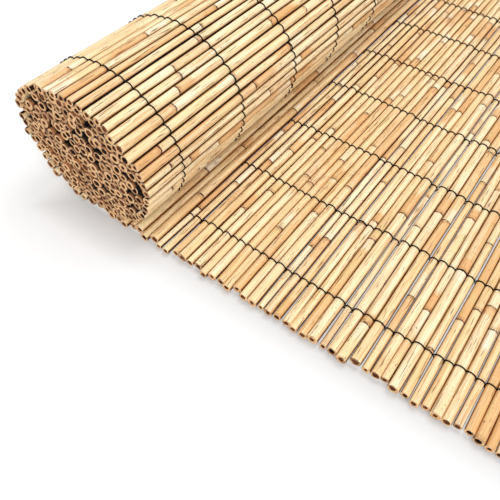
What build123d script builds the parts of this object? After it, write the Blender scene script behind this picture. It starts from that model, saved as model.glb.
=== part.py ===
from build123d import *
import math
import os
import random

# Reed fence, part rolled up and lying down: round reeds side by side, bound by rows of wire.
# X runs along the wires, from the roll to the loose end. Y runs along the reeds, from their
# near ends to their far ends. Z is up. The floor is Z = 0, under the wires that the reeds lie on,
# and the origin is there, in the middle of the length and of the width.

# Driving dimensions, millimetres
reed_length = 1000.0    # height of the fence when it stands
reed_dia = 9.6          # a middling reed
reed_spread = 1.9       # the thickest and the thinnest reed differ from it by up to this
reed_gap = 0.1          # between neighbours in a row
turn_gap = 0.5          # between a turn of the roll and the next
strip_height = 3.2      # of the strip that joins two reeds
roll_width = 178.0
roll_height = 150.0
roll_lean = 0.08        # how far the roll slumps sideways for each millimetre up
laid_length = 465.0     # flat run, from under the middle of the roll to its loose end
wire_dia = 0.8
wire_rows = 10
wire_gap = 0.1          # between a wire and the thickest reeds
wire_stop = 1.5         # from the upper strand's end to the reed of the roll that is in its way
slit_width = 1.0        # opening where two reeds stand apart
slit_edge = 0.1         # of the strip, left on each side of a slit
slit_margin = 8.0       # from a slit's end to the wire
end_slits = 12          # at each end of the reeds
inner_slits = 16        # between the wire rows
growth_seed = 45        # picks the reeds' thicknesses and the places of the slits

# Worked out from them
near_end = -reed_length / 2
row_pitch = reed_length / wire_rows
thickest = (reed_dia + reed_spread) / 2
wire_reach = wire_gap + wire_dia
half_width = roll_width / 2 - wire_reach - thickest     # of the path of the outer turn's reeds
half_height = roll_height / 2 - wire_reach - thickest
path_level = wire_reach + thickest                      # of the middle of the thickest laid reed

# Search for the next reed of the roll, degrees from the heading of the last two
widest_swing = 60
tightest_swing = -150
halvings = 16
reed_limit = 600
rim_share = 0.88        # a reed this far out, squared, is on the outer turn

# How many flats a reed's side has where it isn't in sight; an even number has an edge on the floor
wound_flat_count = 3
floor_flat_count = 4
true_round = 0          # for a side in sight

# Directions in which a wire is pulled tight, degrees
to_the_end, up, to_the_roll, down = 0, 90, 180, -90
end_step = 30
roll_step = 15
last_direction = -405   # down the side of the roll that is over the laid run


def reed_radii(growth):
    while True:
        yield (reed_dia + reed_spread * (growth.random() + growth.random() - 1)) / 2


def laid_run(radii):
    """Reeds (x, z, radius) from the loose end to under the middle of the roll, at x = 0.

    All lie on the wires, so that a thin reed's middle is lower than a thick one's."""
    reeds = []
    x = laid_length
    while True:
        radius = next(radii)
        x -= radius
        if x < 0:
            return reeds
        reeds.append((x, wire_reach + radius, radius))
        x -= radius + reed_gap


def oval_share(x, z):
    """Square of how far out a reed is: 1 on the slumped oval that the outer turn follows."""
    across = (x + roll_lean * (z - path_level)) / half_width
    up = (z - path_level - half_height) / half_height
    return across ** 2 + up ** 2


def next_swing(fits):
    """The most outward turn of the row at which the next reed fits, or None."""
    swings = range(widest_swing, tightest_swing, -1)
    swing = next((trial for trial in swings if fits(trial)), None)
    if swing is None:
        return None
    blocked = swing + 1
    for _ in range(halvings):
        middle = (swing + blocked) / 2
        if fits(middle):
            swing = middle
        else:
            blocked = middle
    return swing


def rolled_run(laid, radii):
    """Reeds wound on from the laid run, each against the turn outside it."""
    reeds = list(laid)
    heading = 180.0
    while len(reeds) < reed_limit:
        x, z, last_radius = reeds[-1]
        radius = next(radii)
        step = last_radius + radius + reed_gap
        reach = step + radius + thickest + turn_gap
        others = [reed for reed in reeds[:-1] if math.hypot(reed[0] - x, reed[1] - z) < reach]

        def place(swing):
            turn = math.radians(heading + swing)
            return x + step * math.cos(turn), z + step * math.sin(turn)

        def fits(swing):
            px, pz = place(swing)
            apart = all(math.hypot(px - ox, pz - oz) >= radius + other + turn_gap
                        for ox, oz, other in others)
            return apart and oval_share(px, pz) <= 1

        swing = next_swing(fits)
        if swing is None:
            break
        reeds.append((*place(swing), radius))
        heading += swing
    return reeds[len(laid):]


def near_point(x, z):
    return Vector(x, near_end, z)


def reed_side(reed, begin, finish, flats):
    """Edges over one side of a reed, clockwise: one arc, or some flats."""
    x, z, radius = reed
    first = math.atan2(begin[1] - z, begin[0] - x)
    last = math.atan2(finish[1] - z, finish[0] - x)
    sweep = (first - last) % math.tau

    def on_reed(share):
        turn = first - sweep * share
        return near_point(x + radius * math.cos(turn), z + radius * math.sin(turn))

    if flats == true_round:
        return [ThreePointArc(near_point(*begin), on_reed(0.5), near_point(*finish))]
    corners = [on_reed(count / flats) for count in range(1, flats)]
    corners = [near_point(*begin), *corners, near_point(*finish)]
    return [Line(a, b) for a, b in zip(corners, corners[1:])]


def wall_outline(reeds, strip, left_flats, right_flats):
    """Edges round the cut end of a wall of reeds, with a strip of a given width between two.

    Left and right are those of somebody who walks from the first reed to the last."""
    (xa, za, ra), (xb, zb, _) = reeds[:2]
    span = math.hypot(xb - xa, zb - za)
    tip = (xa - (xb - xa) / span * ra, za - (zb - za) / span * ra)
    left, right = [tip], [tip]
    for (xa, za, ra), (xb, zb, rb) in zip(reeds, reeds[1:]):
        span = math.hypot(xb - xa, zb - za)
        ux, uz = (xb - xa) / span, (zb - za) / span
        meet = (span + ra - rb) / 2
        for along in (meet - strip / 2, meet + strip / 2):
            x, z = xa + ux * along, za + uz * along
            left.append((x - uz * strip_height / 2, z + ux * strip_height / 2))
            right.append((x + uz * strip_height / 2, z - ux * strip_height / 2))
    tip = (xb + ux * rb, zb + uz * rb)
    left.append(tip)
    right.append(tip)

    def strip_side(begin, finish):
        return [Line(near_point(*begin), near_point(*finish))] if strip else []

    edges = []
    for index, reed in enumerate(reeds):
        first = 2 * index
        edges += reed_side(reed, left[first], left[first + 1], left_flats[index])
        if index < len(reeds) - 1:
            edges += strip_side(left[first + 1], left[first + 2])
    for index, reed in reversed(list(enumerate(reeds))):
        first = 2 * index
        edges += reed_side(reed, right[first + 1], right[first], right_flats[index])
        if index:
            edges += strip_side(right[first], right[first - 1])
    return edges


def reed_wall(reeds, strip, left_flats, right_flats):
    outline = Wire(wall_outline(reeds, strip, left_flats, right_flats))
    return extrude(Face(outline), amount=reed_length, dir=(0, 1, 0))


def laid_reeds(laid, growth):
    """Flat run with slits where neighbours stand apart, open at the ends of the reeds.

    The reeds are round on top, except under the roll."""
    strip = slit_width + 2 * slit_edge
    top_flats = [true_round if x > half_width else wound_flat_count for x, _, _ in laid]
    wall = reed_wall(laid, strip, [floor_flat_count] * len(laid), top_flats)
    meets = [x - radius - reed_gap / 2 for x, _, radius in laid[:-1]]
    bays = [(x, bay) for x in meets for bay in range(1, wire_rows)]
    slits = [(x, 0) for x in growth.sample(meets, end_slits)]
    slits += [(x, wire_rows) for x in growth.sample(meets, end_slits)]
    slits += growth.sample(bays, inner_slits)
    cutter = Box(slit_width, row_pitch - 2 * slit_margin, 2 * thickest)
    return wall - [Pos(x, near_end + bay * row_pitch, path_level) * cutter for x, bay in slits]


def rolled_reeds(rolled):
    """All the turns of the roll, round on its outside where it is clear of the floor."""
    outer_flats = []
    for x, z, _ in rolled:
        if oval_share(x, z) < rim_share:
            outer_flats.append(wound_flat_count)
        else:
            outer_flats.append(floor_flat_count if z < 2 * path_level else true_round)
    return reed_wall(rolled, 0, outer_flats, [wound_flat_count] * len(rolled))


def reach(reeds, direction):
    """How far a group of reeds reaches in one direction."""
    turn = math.radians(direction)
    return max(x * math.cos(turn) + z * math.sin(turn) + radius for x, z, radius in reeds)


def crossing(line, other):
    """Where two lines meet, each given as its direction from the origin and its reach."""
    (turn, near), (other_turn, far) = line, other
    turn, other_turn = math.radians(turn), math.radians(other_turn)
    size = math.sin(other_turn - turn)
    x = (near * math.sin(other_turn) - far * math.sin(turn)) / size
    z = (far * math.cos(turn) - near * math.cos(other_turn)) / size
    return x, z


def wire_lines(laid, rolled):
    """Directions and reaches that pull the wire tight, from its upper strand round to its end."""
    round_end = [(turn, reach(laid, turn)) for turn in range(up, down, -end_step)]
    below = [(down, reach(laid + rolled, down))]
    turns = range(down - roll_step, last_direction - 1, -roll_step)
    return round_end + below + [(turn, reach(rolled, turn)) for turn in turns]


def wire_side(lines, offset, start_x, last_reed):
    """Corners of one side of the wire, between its two free ends."""
    moved = [(turn, far + offset) for turn, far in lines]
    x, z, radius = last_reed
    turn = math.radians(last_direction)
    corners = [(start_x, moved[0][1])]
    corners += [crossing(line, other) for line, other in zip(moved, moved[1:])]
    corners.append((x + (radius + offset) * math.cos(turn), z + (radius + offset) * math.sin(turn)))
    return [near_point(*corner) for corner in corners]


def wire_loop(laid, rolled):
    """One wire: above and below the laid run, then round the outside of the roll."""
    lines = wire_lines(laid, rolled)
    top = lines[0][1] + wire_reach
    in_way = [x + radius for x, z, radius in rolled if z - radius < top + wire_gap]
    start_x = max(in_way) + wire_stop
    last_reed = max(rolled, key=lambda reed: reach([reed], last_direction))
    inner = wire_side(lines, wire_gap, start_x, last_reed)
    outer = wire_side(lines, wire_reach, start_x, last_reed)
    outline = Wire.make_polygon(inner + outer[::-1])
    return extrude(Face(outline), amount=wire_dia, dir=(0, 1, 0))


def fence():
    """Every piece by name, where the mat's middle and its floor are the origin."""
    growth = random.Random(growth_seed)
    radii = reed_radii(growth)
    laid = laid_run(radii)
    rolled = rolled_run(laid, radii)
    middle = (reach(laid, to_the_end) - reach(rolled, to_the_roll)) / 2
    floor = -reach(laid + rolled, down) - wire_reach
    pieces = {"rolled_reeds": rolled_reeds(rolled), "laid_reeds": laid_reeds(laid, growth)}
    wire = wire_loop(laid, rolled)
    for row in range(wire_rows):
        pieces[f"wire_row_{row + 1:02d}"] = Pos(0, (row + 0.5) * row_pitch - wire_dia / 2) * wire
    return {name: Pos(-middle, 0, -floor) * solid for name, solid in pieces.items()}


os.makedirs("parts", exist_ok=True)
for name, solid in fence().items():
    export_step(solid, f"parts/{name}.step")
    print(name, round(solid.volume), solid.bounding_box())
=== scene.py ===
import math
import random

import bpy
import numpy as np
from mathutils import Matrix, Vector


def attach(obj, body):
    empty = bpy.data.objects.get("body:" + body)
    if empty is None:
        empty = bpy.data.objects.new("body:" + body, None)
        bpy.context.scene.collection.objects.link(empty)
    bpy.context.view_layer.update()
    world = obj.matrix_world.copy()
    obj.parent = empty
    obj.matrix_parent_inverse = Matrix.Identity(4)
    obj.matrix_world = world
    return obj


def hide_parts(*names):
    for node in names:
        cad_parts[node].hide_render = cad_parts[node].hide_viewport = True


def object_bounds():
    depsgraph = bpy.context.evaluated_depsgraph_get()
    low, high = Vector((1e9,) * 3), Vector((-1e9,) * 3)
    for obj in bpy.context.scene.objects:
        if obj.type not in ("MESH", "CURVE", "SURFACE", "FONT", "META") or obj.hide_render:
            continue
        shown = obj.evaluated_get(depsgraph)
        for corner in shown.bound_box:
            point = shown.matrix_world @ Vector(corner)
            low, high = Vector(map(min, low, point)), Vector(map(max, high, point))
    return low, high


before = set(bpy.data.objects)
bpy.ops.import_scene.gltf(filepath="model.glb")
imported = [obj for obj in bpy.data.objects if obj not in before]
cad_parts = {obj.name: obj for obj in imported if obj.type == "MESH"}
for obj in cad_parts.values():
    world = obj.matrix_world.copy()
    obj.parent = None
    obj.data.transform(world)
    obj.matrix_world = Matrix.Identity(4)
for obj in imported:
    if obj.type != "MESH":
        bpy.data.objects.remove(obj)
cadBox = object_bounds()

# Reed fence, part rolled up, on a white floor. Metres, in the frame of the CAD model:
# X along the wires, Y along the reeds, Z up from the floor.

mm = 0.001
nearEnd, farEnd = cadBox[0][1], cadBox[1][1]

# How the mat is wound, in millimetres and degrees, as in the CAD model
winding = {
    "reedDia": 9.6, "reedSpread": 1.9, "reedGap": 0.1, "turnGap": 0.5,
    "rollWidth": 178.0, "rollHeight": 150.0, "rollLean": 0.08, "laidLength": 465.0,
    "wireDia": 0.8, "wireGap": 0.1, "growthSeed": 45,
    "widestSwing": 60, "tightestSwing": -150, "halvings": 16, "reedLimit": 600,
    "rimShare": 0.88,
}
thickest = (winding["reedDia"] + winding["reedSpread"]) / 2
wireReach = winding["wireDia"] + winding["wireGap"]
halfWidth = winding["rollWidth"] / 2 - wireReach - thickest
halfHeight = winding["rollHeight"] / 2 - wireReach - thickest
pathLevel = wireReach + thickest


def reedRadii(growth):
    while True:
        spread = winding["reedSpread"] * (growth.random() + growth.random() - 1)
        yield (winding["reedDia"] + spread) / 2


def laidRun(radii):
    reeds = []
    x = winding["laidLength"]
    while True:
        radius = next(radii)
        x -= radius
        if x < 0:
            return reeds
        reeds.append((x, wireReach + radius, radius))
        x -= radius + winding["reedGap"]


def ovalShare(x, z):
    across = (x + winding["rollLean"] * (z - pathLevel)) / halfWidth
    up = (z - pathLevel - halfHeight) / halfHeight
    return across ** 2 + up ** 2


def nextSwing(fits):
    swings = range(winding["widestSwing"], winding["tightestSwing"], -1)
    swing = next((trial for trial in swings if fits(trial)), None)
    if swing is None:
        return None
    blocked = swing + 1
    for _ in range(winding["halvings"]):
        middle = (swing + blocked) / 2
        if fits(middle):
            swing = middle
        else:
            blocked = middle
    return swing


def rolledRun(laid, radii):
    reeds = list(laid)
    heading = 180.0
    while len(reeds) < winding["reedLimit"]:
        x, z, lastRadius = reeds[-1]
        radius = next(radii)
        step = lastRadius + radius + winding["reedGap"]
        reach = step + radius + thickest + winding["turnGap"]
        others = [reed for reed in reeds[:-1] if math.hypot(reed[0] - x, reed[1] - z) < reach]

        def place(swing):
            turn = math.radians(heading + swing)
            return x + step * math.cos(turn), z + step * math.sin(turn)

        def fits(swing):
            px, pz = place(swing)
            apart = all(math.hypot(px - ox, pz - oz) >= radius + other + winding["turnGap"]
                        for ox, oz, other in others)
            return apart and ovalShare(px, pz) <= 1

        swing = nextSwing(fits)
        if swing is None:
            break
        reeds.append((*place(swing), radius))
        heading += swing
    return reeds[len(laid):]


def windReeds():
    # Each reed's place and radius in metres, and the heading of the row there
    radii = reedRadii(random.Random(winding["growthSeed"]))
    laid = laidRun(radii)
    rolled = rolledRun(laid, radii)
    left = min(x - radius for x, _, radius in rolled)
    right = max(x + radius for x, _, radius in laid)
    floor = min(z - radius for _, z, radius in laid + rolled) - wireReach
    row = laid + rolled
    reeds = []
    for index, (x, z, radius) in enumerate(row):
        before = row[max(index - 1, 0)]
        after = row[min(index + 1, len(row) - 1)]
        onRim = index >= len(laid) and ovalShare(x, z) > winding["rimShare"]
        reeds.append({
            "x": (x - (left + right) / 2) * mm, "z": (z - floor) * mm, "radius": radius * mm,
            "heading": math.atan2(after[1] - before[1], after[0] - before[0]),
            "index": index, "kind": "laid" if index < len(laid) else "rim" if onRim else "inner",
            "free": index < len(laid) and x > halfWidth,
        })
    return reeds


class MeshParts:
    # Rings of points joined into one mesh, with what the materials read at each point
    def __init__(self):
        self.points, self.faces, self.slots = [], [], []
        self.fibre, self.traits, self.nodePlace, self.nodeGap = [], [], [], []
        self.maps = []
        self.count = 0

    def strip(self, rings, slot, fibre, traits, nodePlace, nodeGap, mapBox):
        # rings is stations x sides x 3; mapBox is the strip's own part of the bake's map
        stations, sides, _ = rings.shape
        base = self.count
        self.points.append(rings.reshape(-1, 3))
        self.fibre.append(fibre.reshape(-1, 3))
        self.traits.append(np.tile(np.array(traits), (stations * sides, 1)))
        self.nodePlace.append(np.repeat(nodePlace, sides))
        self.nodeGap.append(np.repeat(nodeGap, sides))
        self.count += stations * sides
        a, b = np.meshgrid(np.arange(stations - 1), np.arange(sides), indexing="ij")
        nextSide = (b + 1) % sides
        quads = np.stack([a * sides + b, a * sides + nextSide,
                          (a + 1) * sides + nextSide, (a + 1) * sides + b], axis=-1)
        self.faces.append(quads.reshape(-1, 4) + base)
        self.slots.append(np.full(quads.size // 4, slot))
        steps = np.linalg.norm(np.diff(rings.mean(axis=1), axis=0), axis=1) + 1e-6
        along = np.concatenate([[0], np.cumsum(steps)])
        along = along / along[-1]
        u0, v0, u1, v1 = mapBox
        corners = []
        for da, db in ((0, 0), (0, 1), (1, 1), (1, 0)):
            corners.append(np.stack([u0 + (u1 - u0) * along[a + da],
                                     v0 + (v1 - v0) * (b + db) / sides], axis=-1))
        self.maps.append(np.stack(corners, axis=2).reshape(-1, 2))

    def build(self, name, materials):
        points = np.concatenate(self.points).astype(np.float32)
        faces = np.concatenate(self.faces).astype(np.int32)
        mesh = bpy.data.meshes.new(name)
        mesh.vertices.add(len(points))
        mesh.vertices.foreach_set("co", points.ravel())
        mesh.loops.add(faces.size)
        mesh.loops.foreach_set("vertex_index", faces.ravel())
        mesh.polygons.add(len(faces))
        mesh.polygons.foreach_set("loop_start", np.arange(0, faces.size, 4, dtype=np.int32))
        for material in materials:
            mesh.materials.append(material)
        mesh.polygons.foreach_set("material_index", np.concatenate(self.slots).astype(np.int32))
        mesh.polygons.foreach_set("use_smooth", np.ones(len(faces), dtype=bool))
        for title, kind, key, values in (
            ("fibre", "FLOAT_VECTOR", "vector", np.concatenate(self.fibre)),
            ("traits", "FLOAT_COLOR", "color", np.concatenate(self.traits)),
            ("nodePlace", "FLOAT", "value", np.concatenate(self.nodePlace)),
            ("nodeGap", "FLOAT", "value", np.concatenate(self.nodeGap)),
        ):
            layer = mesh.attributes.new(title, kind, "POINT")
            layer.data.foreach_set(key, np.ascontiguousarray(values, dtype=np.float32).ravel())
        bake = mesh.uv_layers.new(name="OFBake")
        bake.data.foreach_set("uv", np.concatenate(self.maps).astype(np.float32).ravel())
        mesh.update(calc_edges=True)
        mesh.validate()
        piece = bpy.data.objects.new(name, mesh)
        bpy.context.scene.collection.objects.link(piece)
        return piece


# Reeds as they grew: thinner or thicker than their room in the row, a little bent, cut uneven
reedGrowth = {
    "seed": 4001,
    "thinChance": {"laid": 0.26, "rim": 0.2, "inner": 0.0},
    "thinShare": (0.80, 0.90),           # of the reed's room in the row
    "fullShare": {"laid": (1.02, 1.05), "rim": (0.95, 0.995), "inner": (1.03, 1.09)},
    "drift": 0.5,                        # of its place in that room, from one wire to the next
    "bow": 0.25 * mm,                    # between two wires
    "splay": 0.4 * mm,                   # of the near ends
    "sway": 0.8 * mm, "swayPerReed": 0.17, "swayAlong": 8.0,     # of the whole flat run
    "internode": (0.13, 0.26), "taper": 0.03,
    "oval": {"laid": 0.03, "rim": 0.04, "inner": 0.1},
    # caps each reed's random darkness; the outer turn's low cap is painted light, making the lit top
    # of the roll paler
    "paintedLightCap": {"laid": 1.0, "rim": 0.45, "inner": 1.0},
    "raggedEnds": {"laid": 1.9 * mm, "rim": 1.7 * mm, "inner": 0.9 * mm},
    "raggedLimit": 5.5 * mm,
    "overhang": {"laid": 0.0, "rim": 4.0 * mm, "inner": 0.0},    # of the near ends on the roll's top
    "overhangFrom": 80 * mm, "overhangTo": 125 * mm,             # heights
    "sunkChance": 0.16, "sunkDepth": 7.0 * mm,
    "wallShare": (0.36, 0.66),           # the hollow's share of the reed
    "unevenWall": 0.28,
    "pluggedChance": 0.45, "plugDepth": 1.6 * mm,
    "mouthDepth": 60 * mm, "nodeClear": 2 * mm,
}
wireRows = 10
rowPitch = (farEnd - nearEnd) / wireRows
rowPlaces = nearEnd + (np.arange(wireRows) + 0.5) * rowPitch


def growReed(reed):
    # Adds what is the reed's own: its thickness, its line between the wires, its nodes and ends
    draw = random.Random(reedGrowth["seed"] + reed["index"])
    kind = reed["kind"]
    thin = draw.random() < reedGrowth["thinChance"][kind]
    share = draw.uniform(*(reedGrowth["thinShare"] if thin else reedGrowth["fullShare"][kind]))
    room = reed["radius"] * max(1 - share, 0)
    slip, slips = draw.uniform(-1, 1), []
    for _ in rowPlaces:
        slips.append(slip * room)
        slip = max(-1, min(1, slip + draw.gauss(0, reedGrowth["drift"])))
    low, high = reedGrowth["internode"]
    nodes = [nearEnd - draw.uniform(0, high)]
    while nodes[-1] < farEnd + high:
        nodes.append(nodes[-1] + draw.uniform(low, high))
    ragged, limit = reedGrowth["raggedEnds"][kind], reedGrowth["raggedLimit"]
    ends = [max(-limit, min(limit, draw.gauss(0, ragged))) for _ in range(2)]
    ends[0] -= float(np.interp(reed["z"], (reedGrowth["overhangFrom"], reedGrowth["overhangTo"]),
                               (0, reedGrowth["overhang"][kind])))
    if kind == "inner" and draw.random() < reedGrowth["sunkChance"]:
        ends[0] += draw.random() * reedGrowth["sunkDepth"]
    reed.update({
        "look": reed["radius"] * share, "slips": np.array(slips), "nodes": np.array(nodes),
        "sink": room if kind == "laid" else 0.0,
        "bow": draw.uniform(-1, 1) * reedGrowth["bow"],
        "splay": draw.gauss(0, reedGrowth["splay"]) if kind == "laid" else 0.0,
        "phase": draw.uniform(0, math.tau), "oval": draw.random() * reedGrowth["oval"][kind],
        "taper": draw.uniform(-1, 1) * reedGrowth["taper"], "flipped": draw.random() < 0.5,
        "start": nearEnd + ends[0], "stop": farEnd - ends[1],
        "walls": [draw.uniform(*reedGrowth["wallShare"]) for _ in range(2)],
        "uneven": draw.random() * reedGrowth["unevenWall"],
        "plugged": [draw.random() < reedGrowth["pluggedChance"] for _ in range(2)],
        "traits": [draw.random(), draw.random() * reedGrowth["paintedLightCap"][kind],
                   draw.random(), draw.random()],
    })


def lineOf(reed, y):
    # Middle of the reed at places along it
    aside = np.interp(y, rowPlaces, reed["slips"]) + reed["bow"] * np.cos(
        (y - rowPlaces[0]) * math.pi / rowPitch)
    aside = aside + reed["splay"] * np.maximum(0, (rowPlaces[0] - y) / (rowPlaces[0] - nearEnd))
    if reed["kind"] == "laid":
        aside = aside + reedGrowth["sway"] * np.sin(
            reed["index"] * reedGrowth["swayPerReed"] + y * reedGrowth["swayAlong"])
    x = reed["x"] + aside * math.cos(reed["heading"])
    z = reed["z"] + aside * math.sin(reed["heading"]) - reed["sink"]
    return x, z


reedMesh = {
    "sides": {"laid": 16, "rim": 16, "inner": 12},
    "stationGap": {"laid": 0.05, "rim": 0.05, "inner": 0.25}, "endMargin": 3 * mm,
    "nodeStations": (-9, -4, -1.6, -0.7, 0, 0.7, 1.6, 4, 9),     # millimetres from a node
    "nodeSwell": 0.035, "nodeSwellReach": 3.5 * mm,
    "nodeGroove": 0.035, "nodeGrooveReach": 0.7 * mm,
    "bevel": 0.4 * mm, "bevelShare": 0.965,
    "piece": {"laid": 10, "rim": 10, "inner": 25},               # reeds in one mesh
}
skinSlot, cutSlot, hollowSlot = 0, 1, 2      # of a reed's materials


def ringsAt(reed, y, radius, sides, uneven=0.0):
    # Rings round the reed, and the same from its middle: along the row, out of it, along the reed
    turn = np.arange(sides) / sides * math.tau
    out = radius[:, None] * (1 + reed["oval"] * np.cos(2 * turn + reed["phase"]))[None, :]
    out = out * (1 + np.broadcast_to(uneven, y.shape)[:, None] * np.cos(turn + 2 * reed["phase"]))
    lineX, lineZ = lineOf(reed, y)
    x = lineX[:, None] + out * np.cos(turn + reed["heading"])[None, :]
    z = lineZ[:, None] + out * np.sin(turn + reed["heading"])[None, :]
    yy = np.repeat(y[:, None], sides, axis=1)
    own = np.stack([out * np.cos(turn)[None, :], out * np.sin(turn)[None, :], yy], axis=-1)
    return np.stack([x, yy, z], axis=-1), own


def addSkin(parts, reed, sides, mapBox):
    start, stop, nodes = reed["start"], reed["stop"], reed["nodes"]
    bevel = reedMesh["bevel"]
    kind = reed["kind"]
    y = [start, start + bevel, stop - bevel, stop]
    count = int((stop - start) / reedMesh["stationGap"][kind])
    margin = reedMesh["endMargin"]
    y += list(np.linspace(start + margin, stop - margin, max(count, 3)))
    for node in nodes:
        if kind == "inner":
            y.append(node)
        else:
            y += [node + step * mm for step in reedMesh["nodeStations"]]
    y += [(a + b) / 2 for a, b in zip(nodes, nodes[1:])]
    y = np.array(sorted(place for place in set(y) if start <= place <= stop))
    nodePlace = np.interp(y, nodes, np.arange(len(nodes)))
    if reed["flipped"]:
        nodePlace = len(nodes) - nodePlace
    gap = np.abs(y[:, None] - nodes[None, :]).min(axis=1)
    radius = reed["look"] * (1 + reed["taper"] * y / farEnd)
    swell = np.exp(-(gap / reedMesh["nodeSwellReach"]) ** 2)
    groove = np.exp(-(gap / reedMesh["nodeGrooveReach"]) ** 2)
    radius = radius * (1 + reedMesh["nodeSwell"] * swell - reedMesh["nodeGroove"] * groove)
    radius = radius * np.where(np.minimum(y - start, stop - y) < bevel / 2, reedMesh["bevelShare"], 1)
    rings, own = ringsAt(reed, y, radius, sides)
    parts.strip(rings, skinSlot, own, reed["traits"], nodePlace, gap, mapBox)


cutShape = {
    "sawnOut": 0.12 * mm,                # the wall's middle stands out from its edges
    "outerLand": 0.93, "innerLand": 1.05,            # shares of the mouth and of the hollow
    "across": (0.0, 0.3, 0.7, 1.0),      # how far through the wall each ring is
    "hollowAt": (0.0, 0.1, 0.4, 1.0), "hollowShares": (1.0, 1.02, 1.03, 1.02),
    "floorAt": (0.2 * mm, 0.3 * mm), "floorShare": 0.5, "floorTip": 0.01,
}
# Shares of the bake's map: a reed's strip, the skin's part of it, and a cut end's rim
bakeMap = {
    "reed": 0.94, "skin": 0.8, "rim": 0.3, "gap": 0.002,
    "skinSpan": (0.004, 0.996), "endSpans": ((0.004, 0.49), (0.5, 0.99)),
    "wireSpan": (0.01, 0.99), "wire": 0.9,
}


def addCutEnd(parts, reed, sides, part, mapBox):
    # The sawn rim, then the hollow down to the nearest node or to a plug of pith
    end = reed["start"] if part == 0 else reed["stop"]
    inward = 1 - 2 * part
    wall = reed["walls"][part]
    mouth = reed["look"] * (1 + reed["taper"] * end / farEnd)
    if reed["plugged"][part]:
        depth = reedMesh["bevel"] + reedGrowth["plugDepth"] * reed["traits"][3]
    else:
        ahead = [(node - end) * inward for node in reed["nodes"]]
        ahead = [reach for reach in ahead if reach > reedGrowth["nodeClear"]]
        depth = min(ahead + [reedGrowth["mouthDepth"]])
    u0, v0, u1, v1 = mapBox
    middle = u0 + (u1 - u0) * bakeMap["rim"]

    sawn = end - inward * cutShape["sawnOut"]
    rimY = np.array([end, sawn, sawn, end])
    rimRadius = mouth * np.array([reedMesh["bevelShare"], cutShape["outerLand"],
                                  wall * cutShape["innerLand"], wall])
    rimUneven = np.array([0, 0, 1, 1]) * reed["uneven"]
    across = np.array(cutShape["across"])
    hollowY = end + inward * np.array([share * depth for share in cutShape["hollowAt"]]
                                      + [depth + step for step in cutShape["floorAt"]])
    hollowRadius = mouth * np.array([wall * share for share in cutShape["hollowShares"]]
                                    + [wall * cutShape["floorShare"], cutShape["floorTip"]])
    # how deep each hollow ring lies; the hollow's material paints shade from it
    deep = np.abs(hollowY - end) * (not reed["plugged"][part])
    for slot, y, radius, uneven, reading, box in (
        (cutSlot, rimY, rimRadius, rimUneven, across, (u0, v0, middle, v1)),
        (hollowSlot, hollowY, hollowRadius, reed["uneven"], deep,
         (middle + bakeMap["gap"], v0, u1, v1)),
    ):
        rings, own = ringsAt(reed, y, radius, sides, uneven)
        if inward > 0:
            rings, own, reading = rings[::-1], own[::-1], reading[::-1]
        parts.strip(rings, slot, own, reed["traits"], reading, reading, box)


def makeReeds(reeds, skins, endMaterials):
    for kind, title, node in (("laid", "laidReeds", "laid_reeds"),
                              ("rim", "outerTurn", "rolled_reeds"),
                              ("inner", "innerTurns", "rolled_reeds")):
        materials = [skins[kind], *endMaterials]
        members = [reed for reed in reeds if reed["kind"] == kind]
        size, sides = reedMesh["piece"][kind], reedMesh["sides"][kind]
        for count, begin in enumerate(range(0, len(members), size)):
            parts = MeshParts()
            chosen = members[begin:begin + size]
            for order, reed in enumerate(chosen):
                low, high = order / len(chosen), (order + bakeMap["reed"]) / len(chosen)
                skinTop = low + (high - low) * bakeMap["skin"]
                left, right = bakeMap["skinSpan"]
                addSkin(parts, reed, sides, (left, low, right, skinTop))
                for part, (left, right) in enumerate(bakeMap["endSpans"]):
                    addCutEnd(parts, reed, sides, part, (left, skinTop, right, high))
            piece = parts.build(f"{title}{count + 1:02d}", materials)
            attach(piece, "root")
            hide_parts(node)
        print("made", title, len(members), "reeds")


wireShape = {
    "seed": 77, "radius": 0.66 * mm, "sides": 6, "arcPoints": 9,
    "arcShare": 0.985, "arcLimit": 0.97,             # how far round a reed a strand goes
    "hook": 0.8 * mm, "hookRange": (0.5, 1.3),       # how far askew it goes over a reed
    "wander": 1.3 * mm, "wanderPerReed": 0.21, "wanderAlong": 40,
    "dip": 0.7 * mm,                                 # between two reeds
}


def strandPoints(reeds, outwards, rowY, draw):
    # One strand over a run of reeds: an arc over each, a little askew, and a dip between two
    points = []
    for here, reed in enumerate(reeds):
        lineX, lineZ = (float(part) for part in lineOf(reed, rowY))
        radius = reed["look"] + wireShape["radius"]
        normal = reed["heading"] + outwards * math.pi / 2
        spread = math.asin(min(wireShape["arcLimit"],
                               reed["radius"] / radius * wireShape["arcShare"]))
        hook = wireShape["hook"] * draw.uniform(*wireShape["hookRange"])
        wander = wireShape["wander"] * math.sin(reed["index"] * wireShape["wanderPerReed"]
                                                + rowY * wireShape["wanderAlong"])
        for step in np.linspace(-1, 1, wireShape["arcPoints"]):
            turn = normal - outwards * step * spread
            points.append((lineX + radius * math.cos(turn), rowY + wander + hook * step,
                           lineZ + radius * math.sin(turn)))
        if here + 1 < len(reeds):
            after = reeds[here + 1]
            share = reed["radius"] / (reed["radius"] + after["radius"])
            middle = [reed[key] + (after[key] - reed[key]) * share for key in ("x", "z")]
            points.append((middle[0] + wireShape["dip"] * math.cos(normal), rowY + wander,
                           middle[1] + wireShape["dip"] * math.sin(normal)))
    points = np.array(points)
    points[:, 2] = np.maximum(points[:, 2], wireShape["radius"])     # not into the floor
    return points


def tubeRings(points, radius, sides):
    # Rings round a line that lies nearly in the X-Z plane
    ahead = np.gradient(points, axis=0)
    ahead /= np.linalg.norm(ahead, axis=1)[:, None] + 1e-12
    side = np.array([0.0, 1.0, 0.0]) - ahead * ahead[:, 1:2]
    side /= np.linalg.norm(side, axis=1)[:, None]
    over = np.cross(ahead, side)
    turn = np.arange(sides) / sides * math.tau
    return (points[:, None, :] + radius * (np.cos(turn)[None, :, None] * side[:, None, :]
                                           + np.sin(turn)[None, :, None] * over[:, None, :]))


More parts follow.
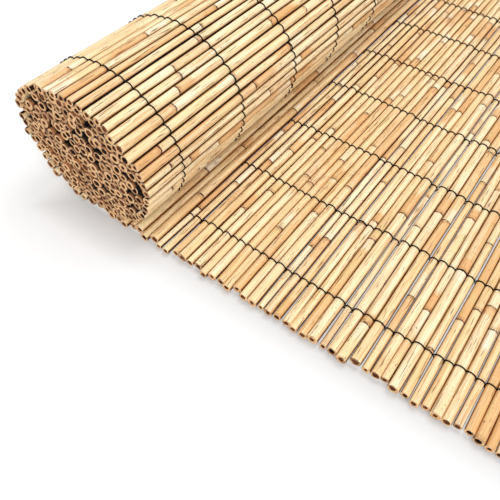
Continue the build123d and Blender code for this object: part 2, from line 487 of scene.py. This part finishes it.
def makeWires(reeds, material):
    over = [reed for reed in reeds if reed["free"]]
    under = [reed for reed in reeds if reed["kind"] != "inner"]
    left, right = bakeMap["wireSpan"]
    for row, rowY in enumerate(rowPlaces):
        draw = random.Random(wireShape["seed"] + row)
        parts = MeshParts()
        strands = [strandPoints(over, -1, rowY, draw), strandPoints(under, 1, rowY, draw)]
        for order, points in enumerate(strands):
            rings = tubeRings(points, wireShape["radius"], wireShape["sides"])
            along = np.arange(len(points)) * mm
            low, high = order / len(strands), (order + bakeMap["wire"]) / len(strands)
            parts.strip(rings, 0, rings, (draw.random(), 0, 0, 1), along, along,
                        (left, low, right, high))
        piece = parts.build(f"wireRow{row + 1:02d}", [material])
        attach(piece, "root")
        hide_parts(f"wire_row_{row + 1:02d}")
    print("made", wireRows, "wire rows")


def feed(tree, sockets, values):
    # Links each named socket to another one, or sets it
    for key, value in values.items():
        if isinstance(value, bpy.types.NodeSocket):
            tree.links.new(value, sockets[key])
        else:
            sockets[key].default_value = value


def addNode(tree, kind, inputs=None, **settings):
    made = tree.nodes.new(kind)
    for key, value in settings.items():
        setattr(made, key, value)
    feed(tree, made.inputs, inputs or {})
    return made


def calc(tree, operation, *values):
    inputs = dict(enumerate(values))
    return addNode(tree, "ShaderNodeMath", inputs, operation=operation).outputs[0]


def times(tree, *values):
    product = values[0]
    for value in values[1:]:
        product = calc(tree, "MULTIPLY", product, value)
    return product


def spanOf(tree, value, low, high, toLow=0.0, toHigh=1.0):
    made = addNode(tree, "ShaderNodeMapRange", {
        "Value": value, "From Min": low, "From Max": high, "To Min": toLow, "To Max": toHigh})
    return made.outputs["Result"]


def mixed(tree, share, first, second, blend="MIX"):
    # The mix node's colour sockets are its inputs 6 and 7 and its output 2
    return addNode(tree, "ShaderNodeMix", {0: share, 6: first, 7: second},
                   data_type="RGBA", blend_type=blend).outputs[2]


def linear(red, green, blue):
    # A colour as a screen shows it, 0 to 255, as a shader wants it
    def one(level):
        level /= 255
        return level / 12.92 if level <= 0.04045 else ((level + 0.055) / 1.055) ** 2.4
    return (one(red), one(green), one(blue), 1.0)


def newGroup(name, inputs, outputs):
    # A node group, and its named sockets as the nodes within it see them
    group = bpy.data.node_groups.new(name, "ShaderNodeTree")
    for title, kind, value in inputs:
        socket = group.interface.new_socket(title, in_out="INPUT", socket_type=kind)
        if value is not None:
            socket.default_value = value
    for title, kind in outputs:
        group.interface.new_socket(title, in_out="OUTPUT", socket_type=kind)
    given = group.nodes.new("NodeGroupInput").outputs
    return group, given, group.nodes.new("NodeGroupOutput").inputs


seedStep = 61.0      # sets one reed's noise apart from another's


def makeGrainGroup():
    # Noise in the reed's own coordinates, drawn out along its fibres
    group, given, results = newGroup("Reed grain", (
        ("Fibre", "NodeSocketVector", None), ("Seed", "NodeSocketFloat", 0.0),
        ("Across", "NodeSocketFloat", 300.0), ("Along", "NodeSocketFloat", 10.0),
        ("Detail", "NodeSocketFloat", 3.0), ("Roughness", "NodeSocketFloat", 0.55),
    ), (("Grain", "NodeSocketFloat"),))
    scale = addNode(group, "ShaderNodeCombineXYZ", {
        0: given["Across"], 1: given["Across"], 2: given["Along"]}).outputs[0]
    drawn = addNode(group, "ShaderNodeVectorMath", {0: given["Fibre"], 1: scale},
                    operation="MULTIPLY").outputs[0]
    noise = addNode(group, "ShaderNodeTexNoise", {
        "Vector": drawn, "W": calc(group, "MULTIPLY", given["Seed"], seedStep), "Scale": 1.0,
        "Detail": given["Detail"], "Roughness": given["Roughness"]}, noise_dimensions="4D")
    feed(group, results, {"Grain": noise.outputs["Fac"]})
    return group


def bumped(tree, height, look):
    return addNode(tree, "ShaderNodeBump", {
        "Height": height, "Strength": look["bump"], "Distance": look["bumpDepth"]}).outputs[0]


def newMaterial(name):
    material = bpy.data.materials.new(name)
    material.use_nodes = True
    tree = material.node_tree
    tree.nodes.clear()
    shader = tree.nodes.new("ShaderNodeBsdfPrincipled")
    output = tree.nodes.new("ShaderNodeOutputMaterial")
    tree.links.new(shader.outputs[0], output.inputs["Surface"])
    return material, tree, shader


def readPoint(tree, title, output):
    # What the mesh holds at each point
    return addNode(tree, "ShaderNodeAttribute", attribute_name=title).outputs[output]


def grainMaker(tree, grainGroup, fibre, seed):
    # Across and along: how many times the noise changes in a metre, either way
    def grain(across, along, detail=3.0, roughness=0.55):
        return addNode(tree, "ShaderNodeGroup", {
            "Fibre": fibre, "Seed": seed, "Across": across, "Along": along,
            "Detail": detail, "Roughness": roughness}, node_tree=grainGroup).outputs["Grain"]
    return grain


def readReed(tree, grainGroup):
    # The reed's own coordinates, its random traits, and a maker of grain from them
    fibre = readPoint(tree, "fibre", "Vector")
    traits = addNode(tree, "ShaderNodeSeparateColor", {0: readPoint(tree, "traits", "Color")}).outputs
    return fibre, traits, grainMaker(tree, grainGroup, fibre, traits[0])


skinLook = {
    "cream": linear(255, 241, 208), "straw": linear(253, 230, 186), "tan": linear(242, 208, 156),
    "shadeStops": (0.15, 0.55, 0.95), "reedShade": 0.5, "internodeShade": 0.3,
    "ripe": linear(228, 174, 114), "pale": linear(255, 248, 226),
    "ripeReach": (0.012, 0.075), "paleReach": (0.006, 0.04), "ripeEdge": 0.5,
    "fine": (0.80, 0.69, 0.54, 1), "moss": linear(222, 206, 146),
    "streak": linear(212, 162, 106), "crack": linear(112, 64, 30), "speck": linear(84, 48, 26),
    # the flank colour and the two valley colours are painted shade, on a reed's sides and where reeds
    # meet
    "ring": linear(70, 36, 18), "stain": linear(150, 96, 54), "flankShade": (0.62, 0.38, 0.17, 1),
    "laidValleyShade": linear(74, 34, 10), "rolledValleyShade": linear(24, 8, 2),
    "specular": 0.25, "fineHeight": 0.5, "bump": 0.35, "bumpDepth": 0.3 * mm,
}
# Across, along, detail, roughness
skinGrain = {
    "broad": (220.0, 7.0, 2.0), "fine": (1500.0, 9.0, 4.0, 0.65), "moss": (70.0, 18.0),
    "streak": (480.0, 20.0, 3.0), "crack": (760.0, 34.0, 2.0, 0.7), "speck": (800.0, 340.0, 2.0),
    "dirty": (45.0, 26.0, 1.0), "patchy": (420.0, 420.0, 2.0),
}
# From what grain or chance to what, and how strong the effect is at these two
skinSpan = {
    "shade": (0.35, 0.65, -0.15, 0.35), "fine": (0.4, 0.68), "moss": (0.54, 0.72, 0.0, 0.55),
    "ripe": (0.2, 0.5), "ripeChance": (0.25, 0.8, 0.1, 0.85),
    "wholly": (0.3, 0.6, 0.3, 0.8), "whollyChance": (0.88, 0.92),
    "pale": (0.0, 0.25), "paleChance": (0.3, 0.75, 0.1, 0.85),
    "streak": (0.5, 0.68, 0.0, 0.8), "crack": (0.6, 0.66, 0.0, 0.85),
    "speck": (0.62, 0.7), "dirty": (0.53, 0.6, 0.0, 0.8),
    "ring": (0.5 * mm, 1.3 * mm, 1.0, 0.0), "ringPatches": (0.38, 0.55, 0.35, 1.0),
    "stain": (1.0 * mm, 6.0 * mm, 0.85, 0.0), "stainPatches": (0.4, 0.62, 0.15, 1.0),
    # painted shade: where the flank and valley shade begin and end across a reed
    "flankShadeFray": (0.3, 0.7, -0.05, 0.05), "flankShade": (0.72, 0.94),
    "valleyShadeFray": (0.3, 0.7, -0.03, 0.03), "valleyShade": (0.88, 0.96),
    "roughness": (0.3, 0.7, 0.42, 0.65),
}


def makeSkinGroup(grainGroup):
    # Colour, roughness and height of a reed's skin in sight, with painted shade on its flanks and
    # where it meets its neighbours
    tree, given, results = newGroup("Reed skin", (
        ("Fibre", "NodeSocketVector", None), ("Traits", "NodeSocketColor", None),
        ("Node place", "NodeSocketFloat", 0.0), ("Node gap", "NodeSocketFloat", 0.0),
        ("Valley shade colour", "NodeSocketColor", None),
    ), (("Colour", "NodeSocketColor"), ("Roughness", "NodeSocketFloat"),
        ("Height", "NodeSocketFloat")))
    fibre, place, gap = given["Fibre"], given["Node place"], given["Node gap"]
    traits = addNode(tree, "ShaderNodeSeparateColor", {0: given["Traits"]}).outputs
    makeGrain = grainMaker(tree, grainGroup, fibre, traits[0])
    look = skinLook

    def grain(title):
        return makeGrain(*skinGrain[title])

    def span(value, title):
        return spanOf(tree, value, *skinSpan[title])

    # each internode has a shade and chances of its own
    pick = addNode(tree, "ShaderNodeTexWhiteNoise", {
        "Vector": addNode(tree, "ShaderNodeCombineXYZ", {
            0: traits[0], 1: calc(tree, "FLOOR", place)}).outputs[0]}, noise_dimensions="3D")
    chance = addNode(tree, "ShaderNodeSeparateColor", {0: pick.outputs["Color"]}).outputs
    broad = grain("broad")
    shade = calc(tree, "ADD", times(tree, traits[1], look["reedShade"]),
                 times(tree, chance[0], look["internodeShade"]))
    shade = calc(tree, "ADD", shade, span(broad, "shade"))
    ramp = addNode(tree, "ShaderNodeValToRGB", {0: shade})
    stops = ramp.color_ramp.elements
    stops.new(look["shadeStops"][1])
    for stop, title, position in zip(stops, ("cream", "straw", "tan"), look["shadeStops"]):
        stop.position = position
        stop.color = look[title]
    color = ramp.outputs[0]

    # one side of a node is ripe, the other was under a leaf and stayed pale
    upper = calc(tree, "GREATER_THAN", calc(tree, "FRACT", place), 0.5)
    lower = calc(tree, "SUBTRACT", 1.0, upper)
    reach = spanOf(tree, chance[1], 0.0, 1.0, *look["ripeReach"])
    faded = calc(tree, "SUBTRACT", 1.0, calc(tree, "DIVIDE", gap, reach))
    ripe = calc(tree, "ADD", faded, times(tree, broad, look["ripeEdge"]))
    ripe = times(tree, span(ripe, "ripe"), upper, span(chance[2], "ripeChance"))
    wholly = times(tree, span(chance[2], "whollyChance"), span(broad, "wholly"))
    color = mixed(tree, calc(tree, "MAXIMUM", ripe, wholly), color, look["ripe"])
    reach = spanOf(tree, chance[0], 0.0, 1.0, *look["paleReach"])
    faded = calc(tree, "SUBTRACT", 1.0, calc(tree, "DIVIDE", gap, reach))
    pale = times(tree, span(faded, "pale"), lower, span(chance[1], "paleChance"))
    color = mixed(tree, pale, color, look["pale"])

    # long fibres, greenish patches, brown streaks and specks
    fine = grain("fine")
    color = mixed(tree, span(fine, "fine"), color,
                  mixed(tree, 1.0, color, look["fine"], "MULTIPLY"))
    for title in ("moss", "streak", "crack"):
        color = mixed(tree, span(grain(title), title), color, look[title])
    specks = times(tree, span(grain("speck"), "speck"), span(grain("dirty"), "dirty"))
    color = mixed(tree, specks, color, look["speck"])

    # dark ring at a node, with a stain on its ripe side
    patchy = grain("patchy")
    ring = times(tree, span(gap, "ring"), span(patchy, "ringPatches"))
    stain = times(tree, span(gap, "stain"), upper, span(patchy, "stainPatches"))
    color = mixed(tree, stain, color, look["stain"])
    color = mixed(tree, ring, color, look["ring"])

    # painted shade: the flanks are browner and darker, and a dark line of shade is painted where a
    # reed meets its neighbour
    apart = addNode(tree, "ShaderNodeSeparateXYZ", {0: fibre}).outputs
    section = addNode(tree, "ShaderNodeCombineXYZ", {0: apart[0], 1: apart[1]}).outputs[0]
    outer = addNode(tree, "ShaderNodeVectorMath", {0: section}, operation="LENGTH").outputs["Value"]
    side = calc(tree, "DIVIDE", calc(tree, "ABSOLUTE", apart[0]), outer)
    side = calc(tree, "ADD", side, span(fine, "flankShadeFray"))
    flankShade = span(side, "flankShade")
    color = mixed(tree, flankShade, color, mixed(tree, 1.0, color, look["flankShade"], "MULTIPLY"))
    valleyShadeSide = calc(tree, "ADD", side, span(broad, "valleyShadeFray"))
    color = mixed(tree, span(valleyShadeSide, "valleyShade"), color, given["Valley shade colour"])

    feed(tree, results, {
        "Colour": color, "Roughness": calc(tree, "MAXIMUM", span(fine, "roughness"), flankShade),
        "Height": calc(tree, "SUBTRACT", times(tree, fine, look["fineHeight"]), ring),
    })
    return tree


def makeReedSkin(skinGroup, name, valleyShadeColor):
    # the valley colour is painted shade between reeds, darker on the roll
    material, tree, shader = newMaterial(name)
    skin = addNode(tree, "ShaderNodeGroup", {
        "Fibre": readPoint(tree, "fibre", "Vector"), "Traits": readPoint(tree, "traits", "Color"),
        "Node place": readPoint(tree, "nodePlace", "Fac"),
        "Node gap": readPoint(tree, "nodeGap", "Fac"), "Valley shade colour": valleyShadeColor,
    }, node_tree=skinGroup).outputs
    feed(tree, shader.inputs, {
        "Base Color": skin["Colour"], "Roughness": skin["Roughness"],
        "Specular IOR Level": skinLook["specular"],
        "Normal": bumped(tree, skin["Height"], skinLook),
    })
    return material


# painted shade: the reeds inside the roll get brown and dark colours for the roll's shade
innerLook = {
    "light": linear(192, 132, 80), "brown": linear(120, 68, 34), "dark": linear(14, 5, 2),
    "grain": (900.0, 14.0, 4.0, 0.65), "brownSpan": (0.38, 0.62), "paintedShadeSpan": (0.0, 3.0 * mm),
    "roughness": 0.75, "bump": 0.4, "bumpDepth": 0.3 * mm,
}


def makeShadedInnerSkin(grainGroup):
    # Skin of the reeds within the roll, a darker copy of the reed skin as painted shade: brown, and
    # nearly black a little way in from their ends
    material, tree, shader = newMaterial("Shaded inner reed skin")
    fibre, _, grain = readReed(tree, grainGroup)
    look = innerLook
    fine = grain(*look["grain"])
    color = mixed(tree, spanOf(tree, fine, *look["brownSpan"]), look["light"], look["brown"])
    along = addNode(tree, "ShaderNodeSeparateXYZ", {0: fibre}).outputs[2]
    within = calc(tree, "SUBTRACT", farEnd, calc(tree, "ABSOLUTE", along))
    color = mixed(tree, spanOf(tree, within, *look["paintedShadeSpan"]), color, look["dark"])
    feed(tree, shader.inputs, {"Base Color": color, "Roughness": look["roughness"],
                               "Normal": bumped(tree, fine, look)})
    return material


cutLook = {
    # the fresh colour is the pale outer skin of the cut and also a painted highlight on its edge
    "paleRimAndHighlight": linear(255, 243, 212), "wall": linear(255, 202, 142), "wallSpan": (0.15, 0.5),
    "pores": linear(144, 86, 46), "poreGrain": (2600.0, 40.0), "poreSpan": (0.45, 0.62, 0.0, 0.8),
    "soil": linear(112, 60, 28), "soilGrain": (240.0, 60.0, 2.0),
    "soilByReed": (0.0, 1.0, -0.1, 0.12), "soilSpan": (0.48, 0.68, 0.0, 0.8),
    "roughness": 0.85, "bump": 0.6, "bumpDepth": 0.3 * mm,
}


def makeCutEnd(grainGroup):
    # Sawn wall of a reed: a pale skin outside, which also paints a highlight on the sawn edge, brown
    # fibres with pores within
    material, tree, shader = newMaterial("Reed cut end")
    _, traits, grain = readReed(tree, grainGroup)
    across = readPoint(tree, "nodeGap", "Fac")
    look = cutLook
    pores = grain(*look["poreGrain"])
    soil = calc(tree, "ADD", grain(*look["soilGrain"]),
                spanOf(tree, traits[2], *look["soilByReed"]))
    color = mixed(tree, spanOf(tree, across, *look["wallSpan"]), look["paleRimAndHighlight"], look["wall"])
    color = mixed(tree, spanOf(tree, pores, *look["poreSpan"]), color, look["pores"])
    color = mixed(tree, spanOf(tree, soil, *look["soilSpan"]), color, look["soil"])
    feed(tree, shader.inputs, {"Base Color": color, "Roughness": look["roughness"],
                               "Normal": bumped(tree, pores, look)})
    return material


hollowLook = {
    "pith": linear(126, 74, 38), "fibre": linear(62, 30, 14), "grain": (900.0, 120.0),
    # the deep colour is painted shade inside the hollow
    "fibreSpan": (0.38, 0.62), "deep": linear(6, 2, 1), "deepShadeSpan": (0.1 * mm, 2.0 * mm),
    "roughness": 0.9,
}


def makeHollow(grainGroup):
    # Inside of a reed, with painted shade that makes it darker the deeper it is
    material, tree, shader = newMaterial("Reed hollow")
    _, _, grain = readReed(tree, grainGroup)
    deep = readPoint(tree, "nodeGap", "Fac")
    look = hollowLook
    fibres = spanOf(tree, grain(*look["grain"]), *look["fibreSpan"])
    color = mixed(tree, fibres, look["pith"], look["fibre"])
    color = mixed(tree, spanOf(tree, deep, *look["deepShadeSpan"]), color, look["deep"])
    feed(tree, shader.inputs, {"Base Color": color, "Roughness": look["roughness"]})
    return material


wireLook = {
    "dark": linear(8, 4, 2), "rust": linear(26, 15, 9), "rustScale": 900.0, "rustDetail": 3.0,
    "rustSpan": (0.45, 0.7), "roughness": (0.3, 0.7, 0.55, 0.75), "specular": 0.12,
}


def makeWireMaterial():
    material, tree, shader = newMaterial("Annealed wire")
    look = wireLook
    rust = addNode(tree, "ShaderNodeTexNoise", {
        "Vector": readPoint(tree, "fibre", "Vector"), "Scale": look["rustScale"],
        "Detail": look["rustDetail"]}).outputs["Fac"]
    color = mixed(tree, spanOf(tree, rust, *look["rustSpan"]), look["dark"], look["rust"])
    feed(tree, shader.inputs, {
        "Base Color": color, "Roughness": spanOf(tree, rust, *look["roughness"]),
        "Specular IOR Level": look["specular"]})
    return material


studio = {
    "floorHalf": 4.0, "floorLit": (0.62, 0.6, 0.58, 1), "floorSeen": (0.57, 0.57, 0.575, 1),
    "floorRoughness": 0.9, "white": (1.0, 1.0, 1.0, 1),
    "glowNear": 0.4, "glowFar": 0.66, "farFrom": 0.8, "farTo": 2.6,
    "matSides": ((-0.21, 0.28), (nearEnd, farEnd)),      # where it touches the floor
    "paintedShadowReach": 0.045, "shade": 0.27,      # deepens the shadow close to the mat
    # painted light on the floor under the mat
    "paintedLightUnderMat": 0.06, "underEdge": 6 * mm,   # lifts what shows between the reeds
    "skyLit": 0.6, "skySeen": 1.0, "aimAt": (0.0, -0.25, 0.0),
    # name, azimuth and elevation that it shines from, distance, size, power, colour
    "lamps": (
        ("keyLight", 180.0, 72.0, 2.2, 1.4, 20.5, (1.0, 0.99, 0.97)),
        ("fillLight", 50.0, 40.0, 2.6, 1.6, 25.0, (1.0, 0.99, 0.98)),
        ("frontLight", -5.0, 24.0, 2.4, 1.0, 9.5, (1.0, 0.99, 0.96)),
    ),
}


def seenRays(tree):
    # 1 for what the camera sees, directly, in a mirror or through glass
    rays = addNode(tree, "ShaderNodeLightPath").outputs
    mirrored = calc(tree, "MAXIMUM", rays["Is Glossy Ray"], rays["Is Transmission Ray"])
    return calc(tree, "MAXIMUM", rays["Is Camera Ray"], mirrored)


def floorGlow(tree):
    # Light of the floor's own, which makes it white: more far off; less close to the mat, a painted
    # shadow; more under the mat, painted light in the gaps between the reeds
    place = addNode(tree, "ShaderNodeNewGeometry").outputs["Position"]
    away = addNode(tree, "ShaderNodeVectorMath", {0: place}, operation="LENGTH").outputs["Value"]
    glow = spanOf(tree, away, studio["farFrom"], studio["farTo"], studio["glowNear"],
                  studio["glowFar"])
    apart = addNode(tree, "ShaderNodeSeparateXYZ", {0: place}).outputs
    past = []
    for axis, (low, high) in enumerate(studio["matSides"]):
        offset = calc(tree, "SUBTRACT", apart[axis], (low + high) / 2)
        past.append(calc(tree, "SUBTRACT", calc(tree, "ABSOLUTE", offset), (high - low) / 2))
    clear = calc(tree, "MAXIMUM", *past)
    # painted light under the mat and painted shadow beside it
    under = spanOf(tree, clear, -studio["underEdge"], 0.0, -studio["paintedLightUnderMat"], studio["shade"])
    paintedShadowNearMat = spanOf(tree, clear, 0.0, studio["paintedShadowReach"], studio["shade"], 0.0)
    return calc(tree, "SUBTRACT", glow, calc(tree, "MINIMUM", under, paintedShadowNearMat))


def makeFloor():
    half = studio["floorHalf"]
    mesh = bpy.data.meshes.new("studioFloor")
    mesh.from_pydata([(-half, -half, 0), (half, -half, 0), (half, half, 0), (-half, half, 0)],
                     [], [(0, 1, 2, 3)])
    floor = bpy.data.objects.new("studioFloor", mesh)
    bpy.context.scene.collection.objects.link(floor)
    material, tree, shader = newMaterial("Studio floor")
    seen = seenRays(tree)
    feed(tree, shader.inputs, {
        "Base Color": mixed(tree, seen, studio["floorLit"], studio["floorSeen"]),
        "Emission Color": studio["white"], "Emission Strength": times(tree, seen, floorGlow(tree)),
        "Roughness": studio["floorRoughness"], "Specular IOR Level": 0.0})
    mesh.materials.append(material)


def aimFrom(azimuth, elevation):
    # Direction towards azimuth 0 = -Y, 90 = +X
    a, e = math.radians(azimuth), math.radians(elevation)
    return Vector((math.sin(a) * math.cos(e), -math.cos(a) * math.cos(e), math.sin(e)))


def makeLamps():
    for name, azimuth, elevation, distance, size, power, color in studio["lamps"]:
        data = bpy.data.lights.new(name, "AREA")
        data.shape = "DISK"
        data.size = size
        data.energy = power
        data.color = color
        lamp = bpy.data.objects.new(name, data)
        back = aimFrom(azimuth, elevation)
        lamp.location = Vector(studio["aimAt"]) + back * distance
        lamp.rotation_mode = "QUATERNION"
        lamp.rotation_quaternion = (-back).to_track_quat("-Z", "Y")
        bpy.context.scene.collection.objects.link(lamp)


def makeSky():
    world = bpy.data.worlds.new("studio")
    world.use_nodes = True
    tree = world.node_tree
    strength = spanOf(tree, seenRays(tree), 0.0, 1.0, studio["skyLit"], studio["skySeen"])
    feed(tree, tree.nodes["Background"].inputs, {"Color": studio["white"], "Strength": strength})
    bpy.context.scene.world = world
    bpy.context.scene.view_settings.view_transform = "Standard"


cameraPlace = {
    "azimuth": 32.85, "elevation": 51.39, "roll": 3.32, "distance": 0.5561,
    "target": (-0.0212, -0.4538, 0.011), "lens": 39.89, "sensor": 36.0,
    "clipStart": 0.02, "clipEnd": 30.0,
}


def makeCamera():
    back = aimFrom(cameraPlace["azimuth"], cameraPlace["elevation"])
    ahead = -back
    right = ahead.cross(Vector((0, 0, 1))).normalized()
    up = right.cross(ahead)
    roll = math.radians(cameraPlace["roll"])
    tiltedRight = math.cos(roll) * right + math.sin(roll) * up
    tiltedUp = -math.sin(roll) * right + math.cos(roll) * up
    data = bpy.data.cameras.new("photoCamera")
    data.sensor_width = cameraPlace["sensor"]
    data.lens = cameraPlace["lens"]
    data.clip_start = cameraPlace["clipStart"]
    data.clip_end = cameraPlace["clipEnd"]
    camera = bpy.data.objects.new("photoCamera", data)
    place = Matrix((tiltedRight, tiltedUp, back)).transposed().to_4x4()
    place.translation = Vector(cameraPlace["target"]) + back * cameraPlace["distance"]
    camera.matrix_world = place
    bpy.context.scene.collection.objects.link(camera)
    bpy.context.scene.camera = camera


reeds = windReeds()
for reed in reeds:
    growReed(reed)
print("wound", len(reeds), "reeds")
makeCamera()
makeLamps()
makeSky()
makeFloor()
print("lit the studio")
grainGroup = makeGrainGroup()
skinGroup = makeSkinGroup(grainGroup)
# the laid and rolled skins differ only in how dark their painted valley shade is
skins = {
    "laid": makeReedSkin(skinGroup, "Laid reed skin", skinLook["laidValleyShade"]),
    "rim": makeReedSkin(skinGroup, "Rolled reed skin", skinLook["rolledValleyShade"]),
    "inner": makeShadedInnerSkin(grainGroup),
}
endMaterials = [makeCutEnd(grainGroup), makeHollow(grainGroup)]
wireMaterial = makeWireMaterial()
print("made the materials")
makeReeds(reeds, skins, endMaterials)
makeWires(reeds, wireMaterial)

print("done")
